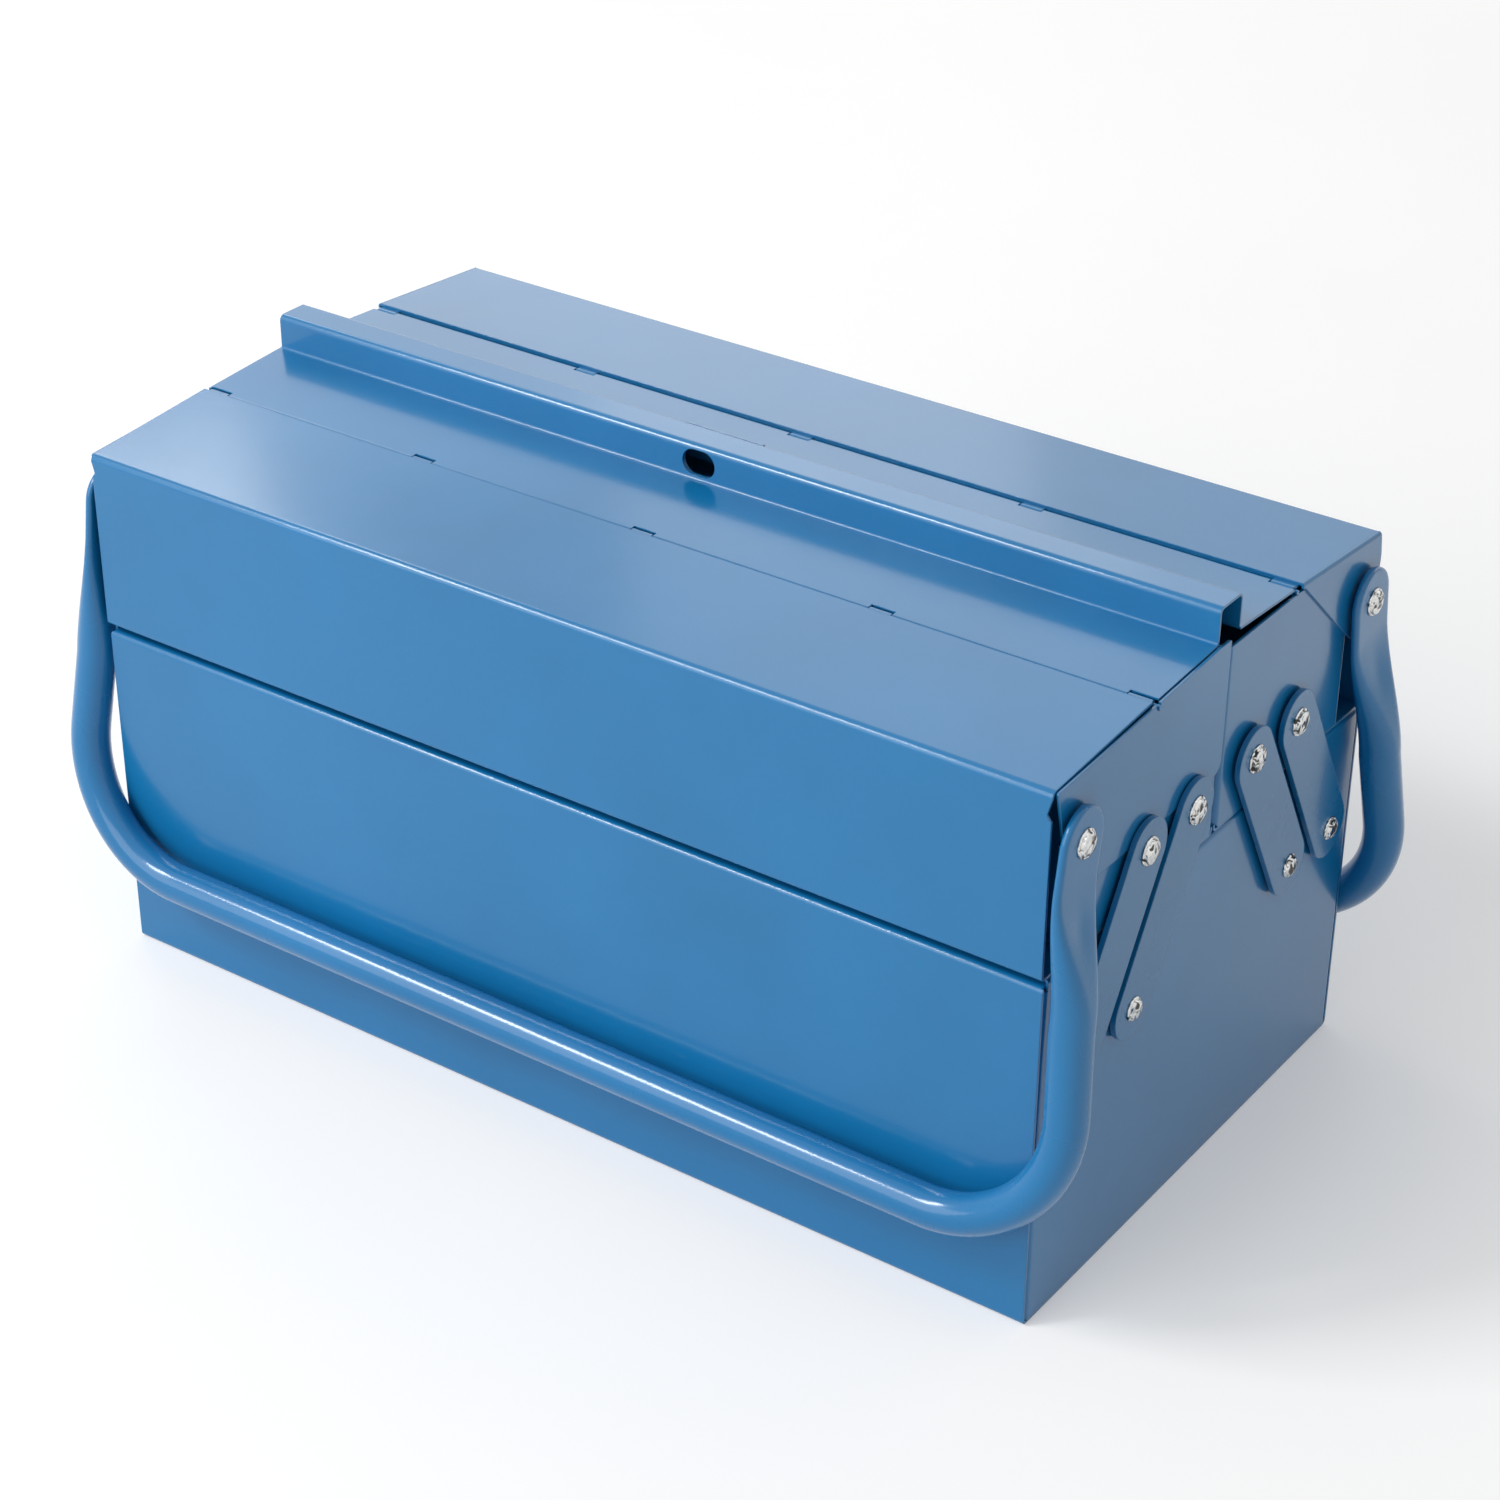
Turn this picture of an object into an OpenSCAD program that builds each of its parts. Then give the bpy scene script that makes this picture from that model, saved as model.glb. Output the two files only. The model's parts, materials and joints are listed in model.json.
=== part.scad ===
// Cantilever toolbox: a deep sheet steel base carries two trays on crossed pairs of swinging arms.
// Each tray has a hinged lid and a carrying handle, and the two trays part to the front and the rear.
// X runs along the box, the front faces -Y, and Z is up from the floor under the middle of the base.

/* [Base] */
// Length of the base over its two end panels
body_length = 404; // [330:1:480]
// Depth of the base, front wall to rear wall
base_depth = 218; // [214:1:219]
// Height of the end panels, which carry the closed trays
base_height = 138; // [128:1:150]
// How far the front and rear walls stop below the end panels
rim_drop = 2.7; // [1:0.1:5]
// Width of the rim folded inwards along the front and rear walls
rim_width = 8.5; // [6:0.5:14]
// Depth of the lip turned down from the rim
rim_lip = 5; // [3:0.5:10]

/* [Sheet metal] */
// Thickness of the base and tray sheet
sheet = 1; // [0.8:0.1:1.2]
// Thickness of the lid sheet
lid_sheet = 0.8; // [0.6:0.1:1]
// Inside radius of the tight folds
fold_r = 1; // [0.6:0.1:1.5]
// Inside radius of the folds on the roof and the ridge
soft_fold_r = 1.6; // [1:0.1:2.2]
// Length of the flanges that join the end panels to the walls
flange_length = 14; // [8:1:20]
// Step between the cut ends of a wall and the face of its end panel
end_step = 0.3; // [0.1:0.1:0.6]

/* [Trays] */
// Depth over the two closed trays
trays_depth = 220; // [220:1:230]
// Gap between the closed trays at the middle
seam_gap = 1; // [0.6:0.1:2]
// Gap between the closed trays and the top of the base
tray_lift = 0.3; // [0.2:0.1:1]
// Drop of the turned edges on the trays' end panels and inner walls below the lid hinges
tray_rim_drop = 0.7; // [0.7:0.5:4.2]
// Width of the rim folded along the inner wall of each tray
tray_rim_width = 6; // [4:0.5:10]
// Width of the outer corner over which the end panel steps in
recess_width = 19.5; // [19:0.5:26]
// Depth of the corner recess in the tray ends
recess_depth = 12; // [8:1:16]
// Slope of the fixed outer part of the roof, in degrees
roof_slope = 4.2; // [3:0.1:5]
// Gap between the rolled hinge and the edge of the fixed roof
roof_lip_gap = 0.6; // [0.5:0.1:1]

/* [Lids] */
// Distance of the lid hinges from the middle
hinge_reach = 47.6; // [46:0.1:50]
// Height of the lid hinges
hinge_height = 209.2; // [209:0.1:211]
// Slope of the lids, in degrees
lid_slope = 3.35; // [2.5:0.05:4]
// Width of the ridge over the middle
ridge_width = 15; // [13:0.5:17]
// Rise of the top of the ridge over the lid hinges
ridge_rise = 17.3; // [16.8:0.5:20.8]
// Gap between the foot of the ridge's rear wall and the lid below it
ridge_foot_gap = 0.6; // [0.4:0.1:1]
// Gap between the end panels' faces and the ends of the lids
lid_end_gap = 0.4; // [0.2:0.1:1]
// Radius of the wire in the lid hinges
hinge_pin_r = 0.9; // [0.7:0.05:1.1]
// Running clearance round the hinge wire
hinge_clearance = 0.05; // [0.03:0.01:0.08]
// Number of the tray's knuckles along each hinge
knuckles = 5; // [3:1:9]
// Length of a tray knuckle, where the lid between them has long ones
knuckle_length = 9; // [6:0.5:16]
// Gap between neighbouring knuckles
knuckle_gap = 0.4; // [0.2:0.1:0.8]
// Width of the hinge leaf under the fixed roof
leaf_width = 12; // [8:1:16]

/* [Padlock] */
// Height of the padlock slot
slot_height = 10; // [8:0.5:10]
// Length of the padlock slot
slot_length = 14; // [12:0.5:18]
// Distance of the slot from the middle of the ridge, to the left
slot_offset = 5.5; // [0:0.5:20]
// Depth of the middle of the slot below the top of the ridge
slot_depth = 6.9; // [6.5:0.1:7]
// Width of the plate and the tab behind the slot
tab_width = 34; // [26:1:50]
// Thickness of the plate and the tab
tab_sheet = 1; // [0.8:0.1:1.2]
// Drop of the tab's top below the top of the ridge
tab_top_gap = 1; // [0.8:0.1:1.2]
// Length of the tab's foot on the rear lid
tab_foot = 11; // [8:0.5:14]
// Gap between the ridge and the tab
tab_gap = 0.3; // [0.2:0.1:0.5]

/* [End plates] */
// Distance from the middle to the inner edge of the front plates
plate_inner = 0.6; // [0.6:0.1:4]
// Height of the lower edge of the front plates
plate_foot = 163.5; // [163.5:0.5:168]
// Drop of a plate's upper edge below the top of the roof
plate_drop = 0.55; // [0.4:0.05:0.8]
// Distance of the gussets' lower tip from the handle pivots, towards the middle
gusset_tip = 7; // [4:0.5:10]
// Drop of the gussets' lower tip below the handle pivots
gusset_drop = 13; // [10:0.5:16]
// Height of the gussets' outer corner, as a share of the roof's height over the handle pivots
gusset_share = 0.56; // [0.4:0.01:0.7]

/* [Arms] */
// Width of an arm
arm_width = 23; // [18:0.5:25]
// Thickness of an arm
arm_sheet = 2; // [1.5:0.1:2.5]
// Distance from the middle to the inner arms' upper pivots
arm_inner_reach = 20.5; // [14:0.5:22]
// Spacing of the two pivots on one tray
arm_spacing = 31; // [29:0.5:33]
// Height of the lower pivots on the base
arm_foot_height = 99.5; // [92:0.5:102]
// Rise of an arm from its lower to its upper pivot, trays closed
arm_rise = 59.5; // [57:0.5:59.5]
// Lean of an arm towards the middle over that rise
arm_lean = 34; // [30:0.5:36]
// Thickness of the spacers that carry arms and handles off the panels
spacer_sheet = 1.4; // [1:0.1:2]
// Radius of the spacers
spacer_r = 4.2; // [4:0.1:4.2]

/* [Rivets] */
// Radius of the rivet shanks
shank_r = 3; // [2.5:0.1:3.5]
// Radius of the rivet heads on the trays
head_r = 5.2; // [4.8:0.1:7]
// Radius of the rivet heads at the feet of the arms
foot_head_r = 4.4; // [4.2:0.1:6]
// Height of the rivet heads
head_height = 2; // [1.6:0.1:2.4]
// Radius of the closed heads inside the box
tail_r = 4.4; // [4:0.1:4.6]
// Height of the closed heads
tail_height = 1.5; // [1:0.1:2]
// Running clearance round a shank that an arm or a handle turns on
pivot_clearance = 0.06; // [0.04:0.01:0.09]
// Clearance round the shank at the inner arms' upper pivots
loose_clearance = 0.1; // [0.08:0.01:0.15]
// End play of an arm or a handle between its spacer and the rivet head
end_play = 0.1; // [0.05:0.05:0.2]
// Clearance of a shank in the panel that it is closed on
closed_clearance = 0.02; // [0.01:0.01:0.05]

/* [Handles] */
// Distance of the handle pivots from the outer walls
handle_inset = 12; // [10:0.5:14]
// Depth of the handle pivots, as a share of the lid hinges' height over the arms' upper pivots
handle_share = 0.46215; // [0.42:0.00005:0.54]
// Drop from the pivots to the middle of the grip
handle_drop = 145.7; // [120:0.1:160]
// Gap between a hanging handle's grip and the plane of the tray wall
grip_gap = 1.5; // [1.2:0.1:6]
// Radius of the handle tube
tube_r = 7.5; // [6:0.1:7.5]
// Wall of the handle tube
tube_wall = 1.2; // [1:0.1:1.5]
// Radius of the tube's bends, to its centre line
handle_bend_r = 48; // [30:1:60]
// Angle that each leg splays outwards along the box
handle_splay = 5.1; // [4:0.1:6]
// Width of the flattened end of the tube
lug_width = 24.5; // [22:0.5:26]
// Thickness of the flattened end
lug_sheet = 3; // [2.4:0.1:3.6]
// Length over which the tube flattens
flatten_length = 52; // [40:1:56]

/* [Hidden] */
$fn = 72;

paint = [0.13, 0.37, 0.62];
lid_paint = [0.20, 0.45, 0.70];
plated = [0.78, 0.79, 0.80];

// A margin that carries a cut clear through what it cuts
over = 5;
fold_steps = 8;

// Planes across the box, as distances from its middle
panel_face = body_length / 2;
panel_back = panel_face - sheet;
wall_end = panel_face - end_step;
plate_face = panel_face + sheet;
lid_end = panel_face - lid_end_gap;
arm_back = panel_face + spacer_sheet + end_play;
arm_face = arm_back + arm_sheet;
lug_back = plate_face + spacer_sheet + end_play;
lug_face = lug_back + lug_sheet;

// Heights and depths of the base
base_half = base_depth / 2;
wall_top = base_height - rim_drop;

// Heights and depths of the trays
tray_half = trays_depth / 2;
tray_inner = seam_gap / 2;
tray_foot = base_height + tray_lift;
tray_floor = tray_foot + sheet;

recess_start = tray_half - recess_width;
handle_reach = tray_half - handle_inset;
arm_head_height = arm_foot_height + arm_rise;
handle_height = hinge_height - handle_share * (hinge_height - arm_head_height);
tray_rim_height = hinge_height - tray_rim_drop;
ridge_top = hinge_height + ridge_rise;

// The rolled hinge and the two roof planes, which are tangents to its knuckles
knuckle_bore_r = hinge_pin_r + hinge_clearance;
knuckle_r = knuckle_bore_r + lid_sheet;
roof_lip = hinge_reach + knuckle_r + roof_lip_gap;
hinge_half = panel_back - end_step;
knuckle_pitch = (2 * hinge_half - knuckle_length) / (knuckles - 1);
notch_gap = 0.2;
notch_r = knuckle_r + notch_gap;
function roof_top(d) =
    hinge_height + (knuckle_r + sheet - (d - hinge_reach) * sin(roof_slope)) / cos(roof_slope);
function roof_under(d) = roof_top(d) - sheet / cos(roof_slope);
gusset_corner = handle_height + gusset_share * (roof_top(tray_half) - handle_height);
function lid_top(d) = hinge_height + (knuckle_r + (hinge_reach - d) * sin(lid_slope)) / cos(lid_slope);
pin_stub = 0.6;
ridge_half = ridge_width / 2;
lid_edge = ridge_half + tab_gap;
ridge_foot = lid_top(lid_edge) + ridge_foot_gap;
slot_level = ridge_top - slot_depth;

// Arm pivots, as distance from the middle and height
arm_outer_reach = arm_inner_reach + arm_spacing;
arm_length = norm([arm_lean, arm_rise]);
arm_angle = atan2(arm_lean, arm_rise);

// Places of the end plates' corners
plate_edge = tray_half - 1.5;
plate_top_line = [
    [ridge_half, lid_top(ridge_half) - plate_drop],
    [plate_edge, roof_top(plate_edge) - plate_drop]
];

function unit(v) = v / norm(v);
function left_of(v) = [-v.y, v.x];
function turn(u, v) = atan2(u.x * v.y - u.y * v.x, u * v);
function spin(v, a) = [v.x * cos(a) - v.y * sin(a), v.x * sin(a) + v.y * cos(a)];

// One fold at corner b of a sheet that lies to the left of the line a, b, c: pairs of points on
// the line's own face and on the far face, t away, round one centre
function fold(a, b, c, r, t) =
    let (u = unit(b - a), v = unit(c - b), angle = turn(u, v), side = angle > 0 ? 1 : -1)
    let (near_r = angle > 0 ? r + t : r, far_r = angle > 0 ? r : r + t)
    let (start = b - u * near_r * tan(abs(angle) / 2), centre = start + left_of(u) * near_r * side)
    [for (i = [0 : fold_steps]) let (out = spin(-left_of(u) * side, angle * i / fold_steps))
        [centre + out * near_r, centre + out * far_r]];

// Pairs of points along a whole folded sheet
function folded(path, r, t) =
    let (last = len(path) - 1)
    let (first_side = left_of(unit(path[1] - path[0])))
    let (last_side = left_of(unit(path[last] - path[last - 1])))
    concat(
        [[path[0], path[0] + first_side * t]],
        [for (i = [1 : last - 1]) each fold(path[i - 1], path[i], path[i + 1], is_list(r) ? r[i - 1] : r, t)],
        [[path[last], path[last] + last_side * t]]);

// The cut section of a folded sheet
module sheet_section(path, r, t) {
    pairs = folded(path, r, t);
    count = len(pairs);
    polygon(concat([for (p = pairs) p[0]], [for (i = [count - 1 : -1 : 0]) pairs[i][1]]));
}

// An outline with a rounded corner of its own radius at each point, anticlockwise
module rounded_outline(points, radii) {
    count = len(points);
    polygon([
        for (i = [0 : count - 1])
            let (a = points[(i + count - 1) % count], b = points[i], c = points[(i + 1) % count])
            each radii[i] > 0 ? [for (p = fold(a, b, c, radii[i], 0)) p[0]] : [b]
    ]);
}

// Extrudes an outline drawn in depth and height along the box
module along_x(from, to) {
    translate([from, 0, 0]) rotate([90, 0, 90]) linear_extrude(to - from) children();
}

// Extrudes an outline drawn in length and height from front to rear
module along_y(from, to) {
    translate([0, to, 0]) rotate([90, 0, 0]) linear_extrude(to - from) children();
}

module to_front() {
    mirror([0, 1, 0]) children();
}

module to_left() {
    mirror([1, 0, 0]) children();
}

module both_ends() {
    children();
    to_left() children();
}

module base_shell() {
    inner = base_half - rim_width;
    path = [
        [-inner, wall_top - rim_lip], [-inner, wall_top], [-base_half, wall_top], [-base_half, 0],
        [base_half, 0], [base_half, wall_top], [inner, wall_top], [inner, wall_top - rim_lip]
    ];
    color(paint) difference() {
        along_x(-wall_end, wall_end) sheet_section(path, fold_r, sheet);
        both_ends() base_rim_cut();
    }
}

// The rims stop short of the end panels
module base_rim_cut() {
    reach = base_half - sheet;
    translate([panel_back, -reach, wall_top - rim_lip - over]) cube([over, 2 * reach, rim_lip + 2 * over]);
}

// The right end panel of the base, a shallow pan with flanges along three sides and a folded top
module base_end() {
    reach = base_half - sheet;
    foot = sheet;
    relief = 2 * fold_r;
    color(paint) difference() {
        union() {
            intersection() {
                translate([0, 0, foot]) linear_extrude(wall_top - sheet - fold_r - foot)
                    sheet_section([
                        [panel_face - flange_length, -reach], [panel_face, -reach],
                        [panel_face, reach], [panel_face - flange_length, reach]
                    ], fold_r, sheet);
                along_x(panel_face - flange_length - over, panel_face + over)
                    rounded_outline(
                        [[-reach, foot], [reach, foot], [reach, base_height], [-reach, base_height]],
                        [relief, relief, 0, 0]);
            }
            along_y(-reach + relief, reach - relief)
                sheet_section([
                    [panel_face - flange_length, foot], [panel_face, foot],
                    [panel_face, base_height], [panel_face - flange_length / 2, base_height]
                ], fold_r, sheet);
        }
        arm_feet() shank_hole(panel_back, panel_face, closed_clearance);
    }
}

// Repeats an item at the four lower arm pivots of the right end
module arm_feet() {
    for (side = [-1, 1], reach = [arm_inner_reach, arm_outer_reach])
        translate([0, side * (reach + arm_lean), arm_foot_height]) children();
}

// Repeats an item at one tray's two upper arm pivots of the right end
module arm_heads() {
    for (reach = [arm_inner_reach, arm_outer_reach])
        translate([0, reach, arm_head_height]) children();
}

module handle_pivot() {
    translate([0, handle_reach, handle_height]) children();
}

module shank_hole(from, to, clearance) {
    translate([from - over, 0, 0]) rotate([0, 90, 0])
        cylinder(r = shank_r + clearance, h = to - from + 2 * over);
}

// A spacer ring on a panel's face
module spacer(face) {
    translate([face, 0, 0]) rotate([0, 90, 0]) difference() {
        cylinder(r = spacer_r, h = spacer_sheet);
        translate([0, 0, -over]) cylinder(r = shank_r + closed_clearance, h = spacer_sheet + 2 * over);
    }
}

// A rivet closed on a panel whose back is at from, with its bright head outside the moving piece
module rivet(from, head, wide) {
    dome_r = wide - 1.1;
    bevel = 0.3;
    rim = 0.35 * head_height;
    shoulder = 0.8 * head_height;
    rise = head_height - shoulder;
    ball_r = (dome_r * dome_r + rise * rise) / (2 * rise);
    dome = [for (i = [0 : fold_steps]) let (r = dome_r * (1 - i / fold_steps))
        [r, shoulder + sqrt(ball_r * ball_r - r * r) - (ball_r - rise)]];
    translate([from - tail_height, 0, 0]) rotate([0, 90, 0]) cylinder(r = tail_r, h = tail_height);
    translate([from - tail_height, 0, 0]) rotate([0, 90, 0])
        cylinder(r = shank_r, h = head - from + tail_height + rim);
    translate([head, 0, 0]) rotate([0, 90, 0]) rotate_extrude()
        polygon(concat(
            [[0, 0], [wide, 0], [wide, rim / 2], [wide - bevel, rim], [dome_r + bevel, rim]],
            dome));
}

module base_spacers() {
    color(plated) both_ends() arm_feet() spacer(panel_face);
}

module base_rivets() {
    color(plated) both_ends() arm_feet() rivet(panel_back, arm_face + end_play, foot_head_r);
}

// One tray of folded sheet, from its inner rim round the floor and up to the fixed part of the roof
module tray_shell() {
    path = [
        [tray_inner + tray_rim_width, tray_rim_height], [tray_inner, tray_rim_height],
        [tray_inner, tray_foot], [tray_half, tray_foot],
        [tray_half, roof_top(tray_half)], [roof_lip, roof_top(roof_lip)]
    ];
    radii = [fold_r, fold_r, fold_r, soft_fold_r];
    color(paint) difference() {
        along_x(-wall_end, wall_end) sheet_section(path, radii, sheet);
        both_ends() inner_wall_cut();
        both_ends() corner_notch();
    }
}

// The inner wall stops where the end panel's flange takes over
module inner_wall_cut() {
    foot = tray_floor + 2 * fold_r;
    reach = panel_face - flange_length;
    translate([reach, -over, foot]) cube([flange_length + over, tray_inner + tray_rim_width + 2 * over,
        tray_rim_height - foot + 1]);
}

// The notch at the fold where the roof turns down into the outer wall
module corner_notch() {
    top = roof_top(tray_half) - soft_fold_r - sheet;
    along_y(tray_half - 2 * sheet, tray_half + over)
        polygon([
            [wall_end + over, top], [wall_end - 0.1, top], [wall_end - 1.6, top - 5.5],
            [wall_end - 0.4, top - 7.5], [wall_end + over, top - 7.5]
        ]);
}

// The right end panel of one tray: flat beside the arms, stepped in at the outer corner
module tray_end() {
    foot = tray_floor;
    relief = fold_r + 0.9;
    corner = tray_half - sheet;
    outline = [
        [tray_inner - 1, foot + 2 * fold_r], [tray_inner + sheet + 0.1, foot + 2 * fold_r],
        [tray_inner + sheet + relief, foot], [corner - relief, foot], [corner, foot + relief],
        [corner, roof_under(corner) - sheet - soft_fold_r], [roof_lip, tray_rim_height],
        [tray_inner - 1, tray_rim_height]
    ];
    color(paint) difference() {
        intersection() {
            translate([0, 0, tray_foot]) linear_extrude(tray_rim_height - tray_foot + over)
                sheet_section([
                    [panel_face - flange_length, tray_inner], [panel_face, tray_inner],
                    [panel_face, recess_start],
                    [panel_face - recess_depth, recess_start], [panel_face - recess_depth, corner],
                    [panel_face - recess_depth - flange_length / 2, corner]
                ], [soft_fold_r, fold_r, fold_r, fold_r], sheet);
            along_x(panel_face - recess_depth - flange_length, panel_face + over) polygon(outline);
        }
        arm_heads() shank_hole(panel_back, panel_face, closed_clearance);
        pin_notch();
    }
}

// The slot in a panel's top edge that the hinge wire passes
module pin_notch() {
    r = hinge_pin_r + 0.2;
    translate([panel_back - over, hinge_reach, hinge_height]) {
        rotate([0, 90, 0]) cylinder(r = r, h = 3 * over);
        translate([0, -r, 0]) cube([3 * over, 2 * r, over]);
    }
}

// The plate over the right end of the front tray, from the seam to the handle
module front_end_plate() {
    corner = 5;
    edge = plate_edge;
    outline = [
        [plate_inner, plate_foot], [handle_reach - 2, plate_foot], [handle_reach + 4, handle_height - 14],
        [handle_reach + 5, handle_height - 3], [handle_reach + 7, handle_height + 7], plate_top_line[1],
        plate_top_line[0], [plate_inner, plate_top_line[0].y]
    ];
    color(paint) difference() {
        along_x(panel_face, plate_face) rounded_outline(outline, [corner, 3, 8, 12, 20, 0.8, 8, 0.6]);
        handle_pivot() shank_hole(panel_face, plate_face, closed_clearance);
        pin_notch();
    }
}

// The gusset folded down from the fixed roof at the right end of the rear tray
module rear_gusset() {
    outline = [
        [handle_reach - gusset_tip, handle_height - gusset_drop],
        [handle_reach + 5, handle_height - gusset_drop], [tray_half - 1, handle_height],
        [tray_half, gusset_corner], [plate_edge, roof_top(plate_edge) - sheet],
        [roof_lip, roof_top(roof_lip) - sheet]
    ];
    color(paint) difference() {
        union() {
            along_x(panel_face, plate_face) rounded_outline(outline, [3, 6, 10, 12, 0.6, 0]);
            roof_fold();
        }
        handle_pivot() shank_hole(panel_face, plate_face, closed_clearance);
    }
}

// The bend between the fixed roof and the gusset, along the slope of the roof
module roof_fold() {
    length = (plate_edge - roof_lip) / cos(roof_slope);
    translate([0, roof_lip, roof_top(roof_lip)]) rotate([-roof_slope, 0, 0])
        along_y(0, length)
            sheet_section([[plate_face, -2 * sheet], [plate_face, 0], [wall_end, 0]], end_step, sheet);
}

// The short stretches of a hinge that carry the tray's knuckles
module tray_stretches(margin) {
    for (i = [0 : knuckles - 1]) {
        start = i * knuckle_pitch - hinge_half;
        along_x(start - margin, start + knuckle_length + margin) children();
    }
}

// The long stretches between them that carry the lid's knuckles
module lid_stretches(margin) {
    for (i = [1 : knuckles - 1]) {
        end = i * knuckle_pitch - hinge_half;
        along_x(end - knuckle_pitch + knuckle_length - margin, end + margin) children();
    }
}

module knuckle_ring() {
    translate([hinge_reach, hinge_height]) difference() {
        circle(r = knuckle_r);
        circle(r = knuckle_bore_r);
    }
}

// A square window round the hinge line, from one depth to another
module hinge_window(from, to) {
    translate([from, hinge_height - over]) square([to - from, 2 * over]);
}

// The leaf welded under the fixed roof, with the tray's knuckles
module hinge_leaf() {
    tangent = [hinge_reach + knuckle_r * sin(roof_slope), hinge_height + knuckle_r * cos(roof_slope)];
    end = roof_lip + leaf_width;
    color(lid_paint) {
        tray_stretches(-knuckle_gap / 2) knuckle_ring();
        difference() {
            along_x(knuckle_gap / 2 - lid_end, lid_end - knuckle_gap / 2)
                sheet_section([[end, roof_under(end)], tangent], fold_r, lid_sheet);
            lid_stretches(knuckle_gap / 2) hinge_window(hinge_reach - over, roof_lip);
            both_ends() leaf_end_cut();
        }
    }
}

// The leaf stops short of the tray's end panels
module leaf_end_cut() {
    translate([panel_back - end_step, 0, hinge_height - over]) cube([over, tray_half, 2 * over]);
}

module hinge_pin(face) {
    color(plated) translate([-face, hinge_reach, hinge_height]) rotate([0, 90, 0])
        cylinder(r = hinge_pin_r, h = 2 * face);
}

// A lid's sheet with its knuckles, from the hinge inwards along the rest of the path
module lid(rest, radii) {
    tangent = [hinge_reach + knuckle_r * sin(lid_slope), hinge_height + knuckle_r * cos(lid_slope)];
    lid_stretches(-knuckle_gap / 2) knuckle_ring();
    difference() {
        along_x(-lid_end, lid_end) sheet_section(concat([tangent], rest), radii, lid_sheet);
        tray_stretches(knuckle_gap / 2) hinge_window(hinge_reach - notch_r, hinge_reach + over);
        both_ends() lid_corner_cut();
    }
}

// The lid's edge is cut back beside the last knuckles
module lid_corner_cut() {
    reach = hinge_half - knuckle_gap;
    translate([reach, hinge_reach - notch_r, hinge_height - over]) cube([over, 2 * over, 2 * over]);
}

module padlock_slot() {
    run = (slot_length - slot_height) / 2;
    translate([-slot_offset, 0, slot_level]) along_y(-ridge_width, ridge_width) {
        translate([-run, -slot_height / 2]) square([2 * run, slot_height]);
        for (side = [-1, 1]) translate([side * run, 0]) circle(r = slot_height / 2);
    }
}

// The front lid folds up into the whole ridge over the seam
module front_lid() {
    rest = [
        [ridge_half, lid_top(ridge_half)], [ridge_half, ridge_top],
        [-ridge_half, ridge_top], [-ridge_half, ridge_foot]
    ];
    color(lid_paint) difference() {
        to_front() lid(rest, [fold_r, soft_fold_r, soft_fold_r]);
        padlock_slot();
    }
}

// The plate that stiffens the ridge's front wall round the padlock slot
module padlock_plate() {
    face = ridge_half - lid_sheet;
    foot = lid_top(ridge_half) + fold_r;
    color(lid_paint) difference() {
        translate([-slot_offset - tab_width / 2, -face, foot])
            cube([tab_width, tab_sheet, ridge_top - lid_sheet - soft_fold_r - foot]);
        padlock_slot();
    }
}

module rear_lid() {
    edge = lid_edge + 0.1;
    middle = (edge + hinge_reach) / 2;
    color(lid_paint) lid([[middle, lid_top(middle)], [edge, lid_top(edge)]], 0);
}

// The slotted tab on the rear lid that a padlock ties to the ridge
module padlock_tab() {
    foot = lid_edge + tab_foot;
    top = ridge_top - tab_top_gap;
    color(lid_paint) difference() {
        along_x(-slot_offset - tab_width / 2, -slot_offset + tab_width / 2)
            sheet_section(
                [[lid_edge, top], [lid_edge, lid_top(lid_edge)], [foot, lid_top(foot)]],
                fold_r / 2, tab_sheet);
        padlock_slot();
    }
}

// An arm at the right end of the rear side, leaning from its lower pivot towards the middle
module arm(reach, head_clearance) {
    color(paint) translate([0, reach + arm_lean, arm_foot_height]) rotate([arm_angle, 0, 0]) difference() {
        along_x(arm_back, arm_face) arm_outline();
        shank_hole(arm_back, arm_face, pivot_clearance);
        translate([0, 0, arm_length]) shank_hole(arm_back, arm_face, head_clearance);
    }
}

module arm_outline() {
    circle(d = arm_width);
    translate([0, arm_length]) circle(d = arm_width);
    translate([-arm_width / 2, 0]) square([arm_width, arm_length]);
}

module outer_arm() {
    arm(arm_outer_reach, pivot_clearance);
}

module inner_arm() {
    arm(arm_inner_reach, loose_clearance);
}

module tray_spacers() {
    color(plated) both_ends() arm_heads() spacer(panel_face);
}

module tray_rivets() {
    color(plated) both_ends() arm_heads() rivet(panel_back, arm_face + end_play, head_r);
}

module handle_spacers() {
    color(plated) both_ends() handle_pivot() spacer(plate_face);
}

module handle_rivets() {
    color(plated) both_ends() handle_pivot() rivet(panel_face, lug_face + end_play, head_r);
}

// The rear handle hangs in its own plane, with the grip straight below the pivots, and leans outwards
module handle() {
    color(paint) translate([0, handle_reach, handle_height]) rotate([handle_lean, 0, 0]) difference() {
        union() {
            handle_tube(tube_r, 0);
            both_ends() flattened_end();
        }
        handle_tube(tube_r - tube_wall, tube_wall);
        both_ends() shank_hole(lug_back, lug_face, pivot_clearance);
    }
}

// A hanging handle leans out until its grip stands clear of the tray wall
handle_lean = asin((max(tray_half, base_half) + grip_gap + tube_r - handle_reach) / handle_drop);

// Where the leg's centre line starts, and where it would meet the grip's
leg_offset = 1.2;
leg_start = lug_face - leg_offset;
leg_corner = leg_start + handle_drop * tan(handle_splay);
bend_angle = 90 + handle_splay;
bend_run = handle_bend_r * tan(bend_angle / 2);
round_start = lug_width / 2 + flatten_length;
round_x = leg_start + round_start * tan(handle_splay);
leg_length = handle_drop / cos(handle_splay) - bend_run - round_start / cos(handle_splay);

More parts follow.
